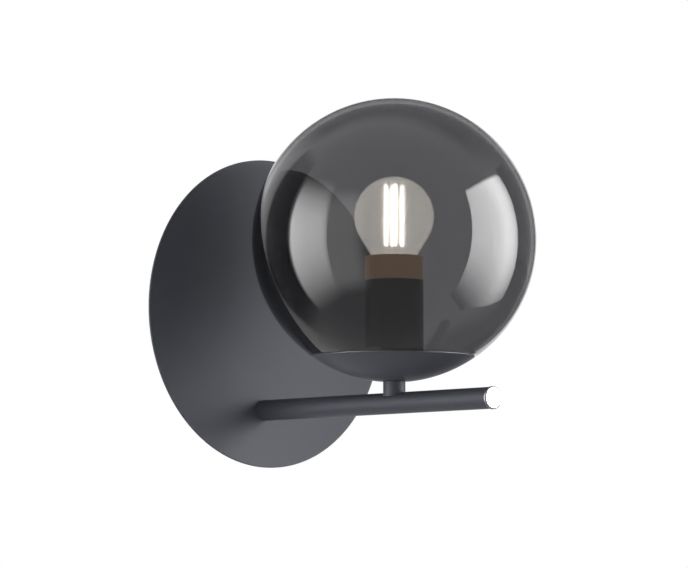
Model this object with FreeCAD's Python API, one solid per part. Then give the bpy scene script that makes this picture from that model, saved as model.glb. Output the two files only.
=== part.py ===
import FreeCAD, Part

import math
import os

from FreeCAD import Vector

# Globe wall sconce. Millimetres, +Z up. The wall is the plane y = 0 and the lamp stands out towards -Y.
# The origin is the middle of the wall bracket's back face. Heights called "_rel" are above the globe's centre.

# Front dish: a spun steel disc, hollow towards the room
dish_radius = 90.0
dish_hollow = 8.0
dish_sheet = 1.5
dish_edge_round = 0.6
dish_reach = 25.0

# Back box: a ring welded behind the dish
box_margin = 1.7
box_wall = 1.0
box_screw_depth = 10.0

# Wall bracket
bracket_sheet = 2.0
bracket_gap = 1.4
bracket_half_height = 13.0
tab_half_height = 8.0
tab_depth = 14.0
tab_bend = 2.5
slot_spacing = 70.0
slot_length = 12.0
slot_width = 4.6
lug_half_width = 8.0
lug_top = 37.0
entry_hole_radius = 7.0

# Cable bush in the bracket
bush_bore_radius = 4.2
bush_flange_radius = 9.5
bush_flange_depth = 2.0

# Side screws
screw_radius = 2.0
screw_head_radius = 3.6
screw_head_depth = 2.4
screw_length = 9.0
screw_clearance = 0.2
screw_slot_width = 0.8
screw_slot_depth = 0.8

# Arm tube
arm_edge_inset = 33.5
arm_radius = 6.0
arm_wall = 1.0
arm_reach = 210.0
arm_port_radius = 4.2
cap_flange_radius = 6.3
cap_flange_depth = 0.9
cap_chamfer = 0.5
cap_face_radius = 5.4
cap_spigot_depth = 6.0

# Hollow threaded nipples, their nuts and washers
nipple_bore_radius = 3.8
thread_play = 0.05
nut_across_flats = 13.0
nut_depth = 3.0
washer_depth = 0.8
washer_radius = 7.0
seat_radius = 7.8
seat_depth = 1.5
root_nipple_grip = 15.0
root_nipple_tail = 1.4
bushing_bore_radius = 3.4
bushing_flange_depth = 1.0
bushing_length = 4.0

# Stem between the arm and the globe cup
stem_axis_reach = 131.3
stem_radius = 6.25
stem_gap = 6.4
stem_saddle_drop = 2.2

# Glass globe and its cup
globe_radius = 80.0
globe_wall = 3.0
globe_edge_share = 0.81
cup_step = 0.2
cup_sheet = 1.2
cup_pad_radius = 10.0
cup_edge_round = 0.45
gasket_depth = 0.7
gasket_rest_play = 0.1
gasket_lip_depth = 0.6
gasket_lip_wall = 1.3
seat_play = 0.3

# Three-armed globe spring
spring_sheet = 0.5
spring_width = 8.0
spring_hub_radius = 8.8
spring_arms = 3
spring_bend = 1.5
spring_floor_play = 0.8
spring_tip_rise = 2.9
spring_tip_lean = 1.8
spring_knee_inset = 1.6
spring_shin_share = 0.78

# Lampholder
base_foot_gap = 0.4
base_foot_depth = 1.4
base_depth = 19.5
base_cavity_depth = 15.0
base_wall = 2.4
sleeve_radius = 16.4
sleeve_wall = 0.8
sleeve_play = 0.1
body_radius = 14.2
holder_height = 64.3
collar_depth = 13.6
collar_bore_radius = 13.3
collar_skirt_depth = 11.0
collar_shoulder_depth = 12.2
collar_edge = 0.6
terminal_offset = 8.0
terminal_size = 5.0
terminal_height = 7.0
terminal_bore_depth = 5.0

# Bulb with a 14 mm screw cap and a 45 mm envelope
bulb_radius = 22.5
bulb_rise = 45.0
bulb_length = 78.0
bulb_wall = 0.8
bulb_neck_radius = 7.6
bulb_cap_radius = 6.95
bulb_cap_wall = 0.25
bulb_cap_length = 18.0
bulb_collar_depth = 2.5
bulb_neck_slope = 31.5
bulb_insulator_depth = 3.2
bulb_contact_radius = 2.4
bulb_contact_depth = 1.0
shell_play = 0.3
shell_sheet = 0.4
contact_play = 0.1
filament_radius = 0.65
filament_length = 34.0
filament_rise = 6.0
filament_ring = 4.55
filament_turn = 57.0
filament_count = 4
support_radius = 0.45
support_width = 0.6
support_sheet = 0.4
support_knob_height = 2.0
mount_tip_drop = 2.0
mount_tip_height = 1.0
mount_flare_depth = 1.5
mount_shoulder_height = 5.0
insulator_ledge = 0.8
driver_share = 0.7
driver_board = 1.0
driver_store_share = 0.32
driver_store_inset = 1.0

# Terminal block and wiring
block_width = 26.0
block_depth = 12.0
block_height = 16.0
block_base_depth = 3.0
block_rise = 27.0
pole_pitch = 8.0
pole_width = 7.0
barrel_radius = 2.7
barrel_bore_radius = 1.6
pole_depth = 8.0
tower_inset = 1.0
barrel_inset = 1.5
clamp_hole_share = 0.7
clamp_radius = 1.6
clamp_sink = 1.5
clamp_slot_depth = 0.6
clamp_slot_width = 0.5
wire_radius = 1.1
wire_spread = 1.4
wire_sag = 1.5
wire_bend = 9.0
wire_aside = 13.0
wire_pass_height = -4.0
wire_turn_space = 6.5
wire_lead = 2.5
wire_end_play = 1.0
earth_wire_depth = 12.0
earth_wire_side = 10.0
earth_x = 28.0
earth_z = -21.0
earth_stud_radius = 2.0
earth_stud_length = 7.0
earth_collar_radius = 3.2
earth_seat_play = 0.1
lug_sheet = 0.8
lug_length = 10.0
lug_barrel_length = 5.0
earth_nut_across_flats = 7.0
earth_nut_depth = 3.2

# Places that follow from the sizes above
dish_rim_y = -dish_reach
dish_sphere_radius = (dish_radius**2 + dish_hollow**2) / (2 * dish_hollow)
dish_sphere_y = dish_rim_y + dish_hollow - dish_sphere_radius
arm_drop = dish_radius - arm_edge_inset
arm_z = -arm_drop
box_radius = arm_drop + seat_radius + box_margin
arm_bore_radius = arm_radius - arm_wall
arm_tip_y = -arm_reach
stem_y = -stem_axis_reach
nipple_radius = arm_bore_radius - thread_play
cup_radius = globe_radius - cup_step
cup_pad_drop = math.sqrt(cup_radius**2 - cup_pad_radius**2)
stem_top_z = arm_z + arm_radius + stem_gap
globe_z = stem_top_z + cup_pad_drop
globe_edge_rel = -globe_edge_share * globe_radius
cup_floor_z = stem_top_z + cup_sheet
gasket_top_rel = globe_edge_rel - gasket_rest_play
cup_rim_rel = gasket_top_rel - gasket_depth
globe_edge_radius = math.sqrt((globe_radius - globe_wall) ** 2 - globe_edge_rel**2)
spring_top_z = cup_floor_z + spring_sheet
cup_nut_z = spring_top_z + washer_depth
base_z = cup_nut_z + nut_depth + base_foot_gap
base_top_z = base_z + base_depth
sleeve_bottom_z = base_z + base_foot_depth
sleeve_bore_radius = sleeve_radius - sleeve_wall
collar_top_rel = base_z + holder_height - globe_z
sleeve_top_rel = collar_top_rel - collar_depth
bulb_top_rel = collar_top_rel + bulb_rise
filament_low_rel = collar_top_rel + filament_rise
bulb_base_rel = bulb_top_rel - bulb_length
dish_back_square = (dish_sphere_radius + dish_sheet) ** 2
seat_y = dish_sphere_y + math.sqrt(dish_back_square - (arm_drop - seat_radius) ** 2) + seat_depth
earth_lug_reach = math.hypot(earth_x, earth_z + lug_length) - wire_radius - lug_sheet
earth_seat_y = dish_sphere_y + math.sqrt(dish_back_square - earth_lug_reach**2) + earth_seat_play
earth_barrel_y = earth_seat_y + lug_sheet + wire_radius


def outline_face(steps, lift):
    """Closed face. A step (r, h) is a straight run, a step (rm, hm, r, h) an arc through its middle point."""
    first = lift(*steps[0])
    last = first
    edges = []
    for step in steps[1:] + [steps[0]]:
        end = lift(*step[-2:])
        if len(step) == 4:
            edges.append(Part.Arc(last, lift(*step[:2]), end).toShape())
        elif (end - last).Length > 1e-6:
            edges.append(Part.makeLine(last, end))
        last = end
    return Part.Face(Part.Wire(edges))


def turned_z(steps, y=0.0, z=0.0):
    """A body turned about the vertical line through (0, y)."""
    face = outline_face(steps, lambda r, h: Vector(r, y, z + h))
    return face.revolve(Vector(0, y, 0), Vector(0, 0, 1), 360)


def turned_y(steps, x=0.0, z=0.0):
    """A body turned about a line that runs square to the wall; the steps are (radius, y)."""
    face = outline_face(steps, lambda r, h: Vector(x + r, h, z))
    return face.revolve(Vector(x, 0, z), Vector(0, 1, 0), 360)


def arc_step(centre_h, start, end):
    """The step from start to end along a circle centred on the axis at centre_h."""
    radius = math.hypot(end[0], end[1] - centre_h)
    middle_angle = (math.atan2(start[1] - centre_h, start[0]) + math.atan2(end[1] - centre_h, end[0])) / 2
    middle = (radius * math.cos(middle_angle), centre_h + radius * math.sin(middle_angle))
    return (*middle, *end)


def cylinder_z(radius, low, high, x=0.0, y=0.0):
    return Part.makeCylinder(radius, high - low, Vector(x, y, low), Vector(0, 0, 1))


def cylinder_y(radius, wall_end, room_end, x=0.0, z=0.0):
    return Part.makeCylinder(radius, wall_end - room_end, Vector(x, wall_end, z), Vector(0, -1, 0))


def box_between(low, high):
    size = Vector(*high) - Vector(*low)
    return Part.makeBox(size.x, size.y, size.z, Vector(*low))


def hexagon(across_flats, depth, place, direction):
    """A hexagonal prism from place along direction, with two of its corners in the plane x = 0."""
    corner = across_flats / math.sqrt(3)
    side = Vector(1, 0, 0)
    other = direction.cross(side)
    corners = []
    for k in range(7):
        angle = math.radians(60 * k + 30)
        corners.append(place + side * (corner * math.cos(angle)) + other * (corner * math.sin(angle)))
    return Part.Face(Part.makePolygon(corners)).extrude(direction * depth)


def rounded_path(points, radius_cap, run_share=0.45):
    """Straight runs joined by tangent arcs, each as large as its shorter run and the cap allow."""
    edges = []
    last = points[0]
    for before, corner, after in zip(points, points[1:], points[2:]):
        inward = (corner - before).normalize()
        outward = (after - corner).normalize()
        half_turn = inward.getAngle(outward) / 2
        shorter = min((corner - before).Length, (after - corner).Length)
        reach = min(run_share * shorter, radius_cap * math.tan(half_turn))
        radius = reach / math.tan(half_turn)
        start = corner - inward * reach
        end = corner + outward * reach
        to_centre = (outward - inward).normalize()
        middle = corner + to_centre * (radius / math.cos(half_turn) - radius)
        edges.append(Part.makeLine(last, start))
        edges.append(Part.Arc(start, middle, end).toShape())
        last = end
    edges.append(Part.makeLine(last, points[-1]))
    return Part.Wire(edges)


def bent_strip(points, bend_radius, sheet, width, across):
    """Sheet strip of constant width whose middle follows the points; across is the unit width direction."""
    path = rounded_path(points, bend_radius)
    start = path.Edges[0].Vertexes[0].Point
    along = (points[1] - points[0]).normalize()
    normal = along.cross(across)
    corners = []
    for a, b in ((-1, -1), (1, -1), (1, 1), (-1, 1), (-1, -1)):
        corners.append(start + across * (a * width / 2) + normal * (b * sheet / 2))
    return path.makePipeShell([Part.makePolygon(corners)], True, False)


def wire_along(points, radius_cap):
    """A round insulated wire along the points."""
    path = rounded_path(points, radius_cap)
    along = (points[1] - points[0]).normalize()
    ring = Part.Wire(Part.makeCircle(wire_radius, points[0], along))
    solid = path.makePipeShell([ring], True, False)
    expected = math.pi * wire_radius**2 * path.Length
    print(f"wire length {path.Length:.1f}, volume over section times length {solid.Volume / expected:.4f}")
    return solid


def dish_sphere(offset):
    """Ball whose surface is the dish's front face, moved towards the wall by offset."""
    return Part.makeSphere(dish_sphere_radius + offset, Vector(0, dish_sphere_y, 0))


def dish_depth(radius, offset):
    """The y of the dish's front face, moved towards the wall by offset, at a radius from its middle."""
    return dish_sphere_y + math.sqrt((dish_sphere_radius + offset) ** 2 - radius**2)


# ---- wall side ----


def wall_bracket():
    """Pressed steel strap with two forward tabs, wall slots, a cable hole and a lug for the terminal block."""
    half_length = box_radius - box_wall - bracket_gap
    middle = bracket_sheet / 2
    bend = bent_strip(
        [
            Vector(-half_length + middle, -tab_depth, 0),
            Vector(-half_length + middle, -middle, 0),
            Vector(half_length - middle, -middle, 0),
            Vector(half_length - middle, -tab_depth, 0),
        ],
        tab_bend,
        bracket_sheet,
        2 * tab_half_height,
        Vector(0, 0, 1),
    )
    shoulder = half_length - 2 * tab_bend
    rim = [(-shoulder, -tab_half_height), (-shoulder + tab_bend, -bracket_half_height)]
    rim += [(-x, z) for x, z in reversed(rim)]
    rim += [(x, -z) for x, z in reversed(rim)]
    strap = Part.Face(Part.makePolygon([Vector(x, 0, z) for x, z in rim + rim[:1]]))
    strap = strap.extrude(Vector(0, -bracket_sheet, 0))
    lug = box_between((-lug_half_width, -bracket_sheet, 0), (lug_half_width, 0, lug_top))
    body = strap.fuse([bend, lug]).removeSplitter()
    body = body.cut(cylinder_y(entry_hole_radius, 0, -bracket_sheet))
    for side in (-1, 1):
        body = body.cut(slot_cutter(side * slot_spacing / 2))
        body = body.cut(side_hole(side, screw_radius))
        body = body.cut(cylinder_y(screw_radius / 2, 0, -bracket_sheet, side * pole_pitch / 2, block_rise))
    return body


def slot_cutter(x):
    half_run = (slot_length - slot_width) / 2
    run = box_between((x - half_run, -bracket_sheet, -slot_width / 2), (x + half_run, 0, slot_width / 2))
    ends = [cylinder_y(slot_width / 2, 0, -bracket_sheet, x + side * half_run) for side in (-1, 1)]
    return run.fuse(ends)


def side_hole(side, radius):
    """Cutter for a side screw's hole through the box wall and the bracket's tab."""
    start = Vector(side * (box_radius + 1), -box_screw_depth, 0)
    return Part.makeCylinder(radius, screw_length + 1, start, Vector(-side, 0, 0))


def cable_bush():
    """Rubber bush pressed into the bracket's middle hole, flush with the wall face."""
    front = -bracket_sheet - bush_flange_depth
    lip = bush_flange_depth / 4
    return turned_y(
        [
            (bush_bore_radius, 0),
            (entry_hole_radius, 0),
            (entry_hole_radius, -bracket_sheet),
            (bush_flange_radius, -bracket_sheet),
            (bush_flange_radius, front + lip),
            (bush_flange_radius - lip, front),
            (bush_bore_radius, front),
        ]
    )


def back_box():
    """Ring behind the dish, cut to its curve and drilled for the two side screws."""
    ring = cylinder_y(box_radius, 0, dish_rim_y).cut(cylinder_y(box_radius - box_wall, 0, dish_rim_y))
    ring = ring.cut(dish_sphere(dish_sheet))
    for side in (-1, 1):
        ring = ring.cut(side_hole(side, screw_radius + screw_clearance))
    return ring


def side_screws():
    """Two round-headed screws that draw the box onto the bracket's tabs."""
    screws = []
    for side in (-1, 1):
        inward = Vector(-side, 0, 0)
        seat = Vector(side * box_radius, -box_screw_depth, 0)
        head = Part.makeCylinder(screw_head_radius, screw_head_depth, seat - inward * screw_head_depth, inward)
        head = head.makeFillet(screw_head_depth / 3, [edge_furthest(head, -inward)])
        shank = Part.makeCylinder(screw_radius - thread_play, screw_length, seat, inward)
        slot = box_between(
            (-screw_slot_depth, -screw_head_radius, -screw_slot_width / 2),
            (screw_slot_depth, screw_head_radius, screw_slot_width / 2),
        )
        slot.translate(seat - inward * screw_head_depth)
        screws.append(head.fuse(shank).cut(slot))
    return Part.makeCompound(screws)


def edge_furthest(shape, direction):
    """The round edge of a shape that lies furthest along a direction."""
    return max(round_edges(shape), key=lambda e: e.Curve.Center.dot(direction))


def round_edges(shape):
    """The edges of a shape that lie on circles."""
    sound = [e for e in shape.Edges if not e.Degenerated]
    return [e for e in sound if isinstance(e.Curve, Part.Circle)]


def front_dish():
    """Spun disc, hollow towards the room, with a rounded rim and the arm's hole."""
    front_rim = (dish_radius, dish_rim_y)
    back_rim = (dish_radius, dish_depth(dish_radius, dish_sheet))
    front_middle = (0, dish_depth(0, 0))
    back_middle = (0, dish_depth(0, dish_sheet))
    dish = turned_y(
        [
            front_middle,
            arc_step(dish_sphere_y, front_middle, front_rim),
            back_rim,
            arc_step(dish_sphere_y, back_rim, back_middle),
        ]
    )
    rims = [e for e in round_edges(dish) if e.Curve.Radius > dish_radius - 1e-3 and abs(e.Curve.Axis.y) > 0.5]
    rims = [e for e in rims if e.Curve.Radius < dish_radius + 1e-3]
    dish = dish.makeFillet(dish_edge_round, rims)
    return dish.cut(cylinder_y(arm_bore_radius, 0, 2 * dish_rim_y, 0, arm_z))


def arm_seat():
    """Turned boss welded behind the dish, flat towards the wall, where the arm's nut bears."""
    boss = cylinder_y(seat_radius, seat_y, dish_rim_y, 0, arm_z)
    boss = boss.cut(dish_sphere(dish_sheet))
    return boss.cut(cylinder_y(arm_bore_radius, seat_y, dish_rim_y, 0, arm_z))


# ---- arm ----


def arm_tube():
    """Straight tube whose root is cut to the dish, with a port on top where the stem stands."""
    end = arm_tip_y + cap_flange_depth + cap_chamfer
    tube = cylinder_y(arm_radius, dish_rim_y + dish_hollow, end, 0, arm_z)
    tube = tube.cut(cylinder_y(arm_bore_radius, 0, end, 0, arm_z))
    tube = tube.common(dish_sphere(0))
    return tube.cut(cylinder_z(arm_port_radius, arm_z, stem_top_z, 0, stem_y))


def end_cap():
    """Turned plug pressed into the arm's end: a flange with a chamfered edge round a flat polished face."""
    shoulder = arm_tip_y + cap_flange_depth + cap_chamfer
    tail = shoulder + cap_spigot_depth
    spigot_radius = arm_bore_radius - thread_play
    return turned_y(
        [
            (0, arm_tip_y),
            (cap_face_radius, arm_tip_y),
            (cap_flange_radius, arm_tip_y + cap_chamfer),
            (cap_flange_radius, shoulder),
            (spigot_radius, shoulder),
            (spigot_radius, tail - cap_chamfer),
            (spigot_radius - cap_chamfer, tail),
            (0, tail),
        ],
        0,
        arm_z,
    )


def root_nipple():
    """Hollow threaded nipple that holds the arm through the dish and carries the wires."""
    tail = seat_y + washer_depth + nut_depth + root_nipple_tail
    head = dish_rim_y - root_nipple_grip
    tube = cylinder_y(nipple_radius, tail, head, 0, arm_z)
    return tube.cut(cylinder_y(nipple_bore_radius, tail, head, 0, arm_z))


def root_washer():
    washer = cylinder_y(washer_radius, seat_y + washer_depth, seat_y, 0, arm_z)
    return washer.cut(cylinder_y(arm_bore_radius, seat_y + washer_depth, seat_y, 0, arm_z))


def root_nut():
    start = seat_y + washer_depth
    nut = hexagon(nut_across_flats, nut_depth, Vector(0, start, arm_z), Vector(0, 1, 0))
    return nut.cut(cylinder_y(arm_bore_radius, start + nut_depth, start, 0, arm_z))


def nipple_bushing():
    """Plastic bushing in the nipple's mouth that keeps its edge off the wires."""
    mouth = seat_y + washer_depth + nut_depth + root_nipple_tail
    outer = nipple_bore_radius - thread_play
    flange = nipple_radius
    return turned_y(
        [
            (bushing_bore_radius, mouth - bushing_length),
            (outer, mouth - bushing_length),
            (outer, mouth),
            (flange, mouth),
            (flange, mouth + bushing_flange_depth),
            (bushing_bore_radius + bushing_flange_depth / 3, mouth + bushing_flange_depth),
            (bushing_bore_radius, mouth + bushing_flange_depth * 2 / 3),
        ],
        0,
        arm_z,
    )


def stem():
    """Short turned post, hollowed to sit on the arm tube and bored for the globe's nipple."""
    foot = arm_z + arm_radius - stem_saddle_drop
    post = cylinder_z(stem_radius, foot, stem_top_z, 0, stem_y)
    post = post.cut(cylinder_z(arm_bore_radius, foot, stem_top_z, 0, stem_y))
    return post.cut(cylinder_y(arm_radius, 0, arm_tip_y, 0, arm_z))


def stem_nipple():
    """Hollow threaded nipple that clamps the cup and carries the lampholder."""
    low = arm_z + arm_radius + thread_play
    high = base_z + base_depth - base_cavity_depth
    tube = cylinder_z(nipple_radius, low, high, 0, stem_y)
    return tube.cut(cylinder_z(nipple_bore_radius, low, high, 0, stem_y))


# ---- globe support ----


def cup():
    """Spun cup that carries on the globe's curve, with a flat pad on the stem and a softened rim."""
    inner = cup_radius - cup_sheet
    floor_rel = cup_sheet - cup_pad_drop
    pad = (cup_pad_radius, -cup_pad_drop)
    rim_outside = (math.sqrt(cup_radius**2 - cup_rim_rel**2), cup_rim_rel)
    rim_inside = (math.sqrt(inner**2 - cup_rim_rel**2), cup_rim_rel)
    floor = (math.sqrt(inner**2 - floor_rel**2), floor_rel)
    body = turned_z(
        [
            (arm_bore_radius, -cup_pad_drop),
            pad,
            arc_step(0, pad, rim_outside),
            rim_inside,
            arc_step(0, rim_inside, floor),
            (arm_bore_radius, floor_rel),
        ],
        stem_y,
        globe_z,
    )
    rim = [e for e in round_edges(body) if abs(e.Curve.Radius - rim_outside[0]) < 1e-3]
    return body.makeFillet(cup_edge_round, rim)


def cup_gasket():
    """Silicone ring of L section between the cup's rim and the ground edge of the glass."""
    inner = cup_radius - cup_sheet
    lip_low = cup_rim_rel - gasket_lip_depth
    lip_outside = math.sqrt(inner**2 - cup_rim_rel**2) - seat_play / 2
    lip_toe = math.sqrt(inner**2 - lip_low**2) - seat_play / 2
    lip_inside = lip_outside - gasket_lip_wall
    outer = math.sqrt(cup_radius**2 - cup_rim_rel**2) - cup_edge_round
    return turned_z(
        [
            (lip_inside, gasket_top_rel),
            (outer, gasket_top_rel),
            (outer, cup_rim_rel),
            (lip_outside, cup_rim_rel),
            (lip_toe, lip_low),
            (lip_inside, lip_low),
        ],
        stem_y,
        globe_z,
    )


def spring_arm():
    """One leaf of the globe spring: out along the cup's floor, up past the gasket and in at its tip."""
    half = spring_sheet / 2
    reach = math.sqrt((globe_edge_radius - seat_play) ** 2 - (spring_width / 2) ** 2) - half
    inner = cup_radius - cup_sheet
    floor_rel = cup_floor_z - globe_z + half
    knee = reach - spring_knee_inset
    knee_rel = -math.sqrt(inner**2 - knee**2) + spring_floor_play
    shin = reach * spring_shin_share
    shin_rel = -math.sqrt(inner**2 - shin**2) + spring_floor_play
    places = [
        (spring_hub_radius / 2, floor_rel),
        (spring_hub_radius, floor_rel),
        (shin, shin_rel),
        (knee, knee_rel),
        (reach, globe_edge_rel + seat_play),
        (reach - spring_tip_lean, globe_edge_rel + spring_tip_rise),
    ]
    points = [Vector(r, stem_y, globe_z + h) for r, h in places]
    return bent_strip(points, spring_bend, spring_sheet, spring_width, Vector(0, 1, 0))


def globe_spring():
    """Stamped spring-steel spider under the cup's nut; its leaves hold the globe by its inner edge."""
    hub = cylinder_z(spring_hub_radius, cup_floor_z, spring_top_z, 0, stem_y)
    arm = spring_arm()
    leaves = []
    for k in range(spring_arms):
        leaf = arm.copy()
        leaf.rotate(Vector(0, stem_y, 0), Vector(0, 0, 1), 90 + 360 / spring_arms * k)
        leaves.append(leaf)
    spider = hub.fuse(leaves).removeSplitter()
    return spider.cut(cylinder_z(arm_bore_radius, cup_floor_z, spring_top_z, 0, stem_y))


def cup_washer():
    washer = cylinder_z(washer_radius, spring_top_z, cup_nut_z, 0, stem_y)
    return washer.cut(cylinder_z(arm_bore_radius, spring_top_z, cup_nut_z, 0, stem_y))


def cup_nut():
    nut = hexagon(nut_across_flats, nut_depth, Vector(0, stem_y, cup_nut_z), Vector(0, 0, 1))
    return nut.cut(cylinder_z(arm_bore_radius, cup_nut_z, cup_nut_z + nut_depth, 0, stem_y))


def globe_glass():
    """Smoked glass globe, blown with an even wall and ground flat round its opening."""
    inner = globe_radius - globe_wall
    outside = (math.sqrt(globe_radius**2 - globe_edge_rel**2), globe_edge_rel)
    inside = (globe_edge_radius, globe_edge_rel)
    return turned_z(
        [
            inside,
            outside,
            arc_step(0, outside, (0, globe_radius)),
            (0, inner),
            arc_step(0, (0, inner), inside),
        ],
        stem_y,
        globe_z,
    )


# ---- lampholder ----


def holder_base():
    """Moulded base screwed on the nipple: a foot that carries the sleeve, and a cup for the wires."""
    wall_radius = body_radius
    cavity = wall_radius - base_wall
    floor = base_depth - base_cavity_depth
    return turned_z(
        [
            (nipple_radius + thread_play, 0),
            (sleeve_radius, 0),
            (sleeve_radius, base_foot_depth),
            (sleeve_bore_radius - sleeve_play, base_foot_depth),
            (sleeve_bore_radius - sleeve_play, floor),
            (wall_radius, floor + base_foot_depth),
            (wall_radius, base_depth),
            (cavity, base_depth),
            (cavity, floor),
            (nipple_radius + thread_play, floor),
        ],
        stem_y,
        base_z,
    )


def holder_body():
    """Moulded body with the screw well, the contact floor, two wire holes and pockets for the terminals."""
    top = globe_z + collar_top_rel - collar_shoulder_depth
    well_radius = bulb_cap_radius + shell_play + shell_sheet
    well_floor = globe_z + bulb_base_rel - shell_sheet - contact_play
    body = cylinder_z(body_radius, base_top_z, top, 0, stem_y)
    body = body.cut(cylinder_z(well_radius, well_floor, top, 0, stem_y))
    for side in (-1, 1):
        hole = cylinder_z(wire_radius + thread_play, base_top_z, well_floor, side * terminal_offset, stem_y)
        body = body.cut([hole, terminal_pocket(side, 0)])
    return body


def terminal_pocket(side, play):
    """The space of one brass terminal in the body's lower end; play shrinks it to the terminal itself."""
    half = terminal_size / 2 - play
    centre = side * terminal_offset
    return box_between(
        (centre - half, stem_y - half, base_top_z + play),
        (centre + half, stem_y + half, base_top_z + terminal_height - play),
    )


def holder_terminals():
    """Two brass terminals, each bored upwards for its wire."""
    blocks = []
    for side in (-1, 1):
        block = terminal_pocket(side, thread_play)
        top = base_top_z + terminal_bore_depth
        block = block.cut(cylinder_z(wire_radius, base_top_z, top, side * terminal_offset, stem_y))
        blocks.append(block)
    return Part.makeCompound(blocks)


def holder_collar():
    """Brown moulded ring that caps the sleeve; its skirt grips the body under the sleeve."""
    skirt_radius = sleeve_bore_radius - sleeve_play
    grip_radius = body_radius + thread_play
    edge = collar_edge
    return turned_z(
        [
            (grip_radius, -collar_depth - collar_skirt_depth),
            (skirt_radius, -collar_depth - collar_skirt_depth),
            (skirt_radius, -collar_depth),
            (sleeve_radius, -collar_depth),
            (sleeve_radius, -edge),
            (sleeve_radius - edge, 0),
            (collar_bore_radius + edge, 0),
            (collar_bore_radius, -edge),
            (collar_bore_radius, -collar_shoulder_depth),
            (grip_radius, -collar_shoulder_depth),
        ],
        stem_y,
        globe_z + collar_top_rel,
    )


def holder_sleeve():
    """Black tube round the lampholder, from the base's foot to the collar."""
    top = globe_z + sleeve_top_rel
    tube = cylinder_z(sleeve_radius, sleeve_bottom_z, top, 0, stem_y)
    return tube.cut(cylinder_z(sleeve_bore_radius, sleeve_bottom_z, top, 0, stem_y))


def screw_shell():
    """Brass shell that lines the well and takes the bulb's cap."""
    low = globe_z + bulb_base_rel + bulb_contact_depth
    high = globe_z + collar_top_rel - collar_shoulder_depth
    inner = bulb_cap_radius + shell_play
    tube = cylinder_z(inner + shell_sheet, low, high, 0, stem_y)
    return tube.cut(cylinder_z(inner, low, high, 0, stem_y))


def centre_contact():
    """Phosphor-bronze leaf on the well's floor under the bulb's tip."""
    floor = globe_z + bulb_base_rel - shell_sheet - contact_play
    half_width = bulb_contact_radius
    half_length = bulb_cap_radius
    leaf = box_between(
        (-half_length, stem_y - half_width, floor),
        (half_length, stem_y + half_width, floor + shell_sheet),
    )
    return leaf


# ---- bulb ----


def bulb_glass():
    """Blown envelope: a ball that runs into a straight neck and narrows to the cap."""
    outer = bulb_outline(0)
    inner = bulb_outline(bulb_wall)
    return turned_z(outer + closing_steps(inner), stem_y, globe_z)


def bulb_outline(wall):
    """Steps up the envelope at a depth under its outer face, from the neck's foot to the crown."""
    radius = bulb_radius - wall
    centre = bulb_top_rel - bulb_radius
    slope = math.radians(bulb_neck_slope)
    tangent = (radius * math.cos(slope), centre - radius * math.sin(slope))
    foot_radius = bulb_neck_radius - wall
    foot_h = tangent[1] - (tangent[0] - foot_radius) / math.tan(slope)
    crown = (0, centre + radius)
    return [(foot_radius, foot_h), tangent, arc_step(centre, tangent, crown)]


def closing_steps(inner):
    """The inner outline walked back down from the crown to the neck's foot."""
    foot, tangent, crown = inner
    centre = bulb_top_rel - bulb_radius
    return [crown[-2:], arc_step(centre, crown[-2:], tangent), foot]


def bulb_neck_foot():
    return bulb_outline(0)[0][1]


def bulb_cap():
    """Nickel-plated screw cap, open towards the glass and closed by the insulator."""
    low = bulb_base_rel + bulb_contact_depth + bulb_insulator_depth
    neck = bulb_neck_foot()
    outer = bulb_cap_radius
    inner = outer - bulb_cap_wall
    flare = bulb_neck_radius
    return turned_z(
        [
            (inner, low),
            (outer, low),
            (outer, neck - bulb_collar_depth),
            (flare, neck - bulb_collar_depth / 2),
            (flare, neck),
            (flare - bulb_cap_wall, neck),
            (flare - bulb_cap_wall, neck - bulb_collar_depth / 2),
            (inner, neck - bulb_collar_depth),
        ],
        stem_y,
        globe_z,
    )


def bulb_insulator():
    """Black glass cone between the cap and the centre contact."""
    low = bulb_base_rel + bulb_contact_depth
    return turned_z(
        [
            (0, low),
            (bulb_contact_radius + insulator_ledge, low),
            (bulb_cap_radius - bulb_cap_wall, low + bulb_insulator_depth),
            (0, low + bulb_insulator_depth),
        ],
        stem_y,
        globe_z,
    )


def bulb_contact():
    """Solder tip at the bulb's foot."""
    low = bulb_base_rel
    edge = bulb_contact_depth / 2
    return turned_z(
        [
            (0, low),
            (bulb_contact_radius - edge, low),
            (bulb_contact_radius, low + edge),
            (bulb_contact_radius, low + bulb_contact_depth),
            (0, low + bulb_contact_depth),
        ],
        stem_y,
        globe_z,
    )


def bulb_mount():
    """Pressed glass stem inside the envelope, flared where it joins the neck."""
    foot = bulb_neck_foot()
    flare = bulb_neck_radius - bulb_wall
    pinch = filament_ring / 2
    shoulder = foot + mount_shoulder_height
    tip = filament_low_rel - mount_tip_drop
    return turned_z(
        [
            (0, foot),
            (flare, foot),
            (flare - mount_flare_depth, foot + mount_flare_depth),
            (pinch, shoulder),
            (pinch, tip - mount_tip_height),
            (0, tip),
        ],
        stem_y,
        globe_z,
    )


def filament_places():
    """Where the upright filaments stand round the bulb's axis."""
    places = []
    for k in range(filament_count):
        angle = math.radians(filament_turn + 360 / filament_count * k)
        places.append((filament_ring * math.cos(angle), stem_y + filament_ring * math.sin(angle)))
    return places


def filaments():
    """Upright light-emitting rods."""
    low = globe_z + filament_low_rel
    rods = [cylinder_z(filament_radius, low, low + filament_length, x, y) for x, y in filament_places()]
    return Part.makeCompound(rods)


def filament_frame():
    """Nickel strips that carry the filaments: a post with a four-armed spider at its foot and at its top."""
    low = globe_z + filament_low_rel
    high = low + filament_length
    frame = cylinder_z(support_radius, low - mount_tip_drop, high, 0, stem_y)
    frame = frame.fuse([spider(low - support_sheet), spider(high)])
    knob = cylinder_z(2 * support_radius, high, high + support_knob_height, 0, stem_y)
    return frame.fuse(knob).removeSplitter()


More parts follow.
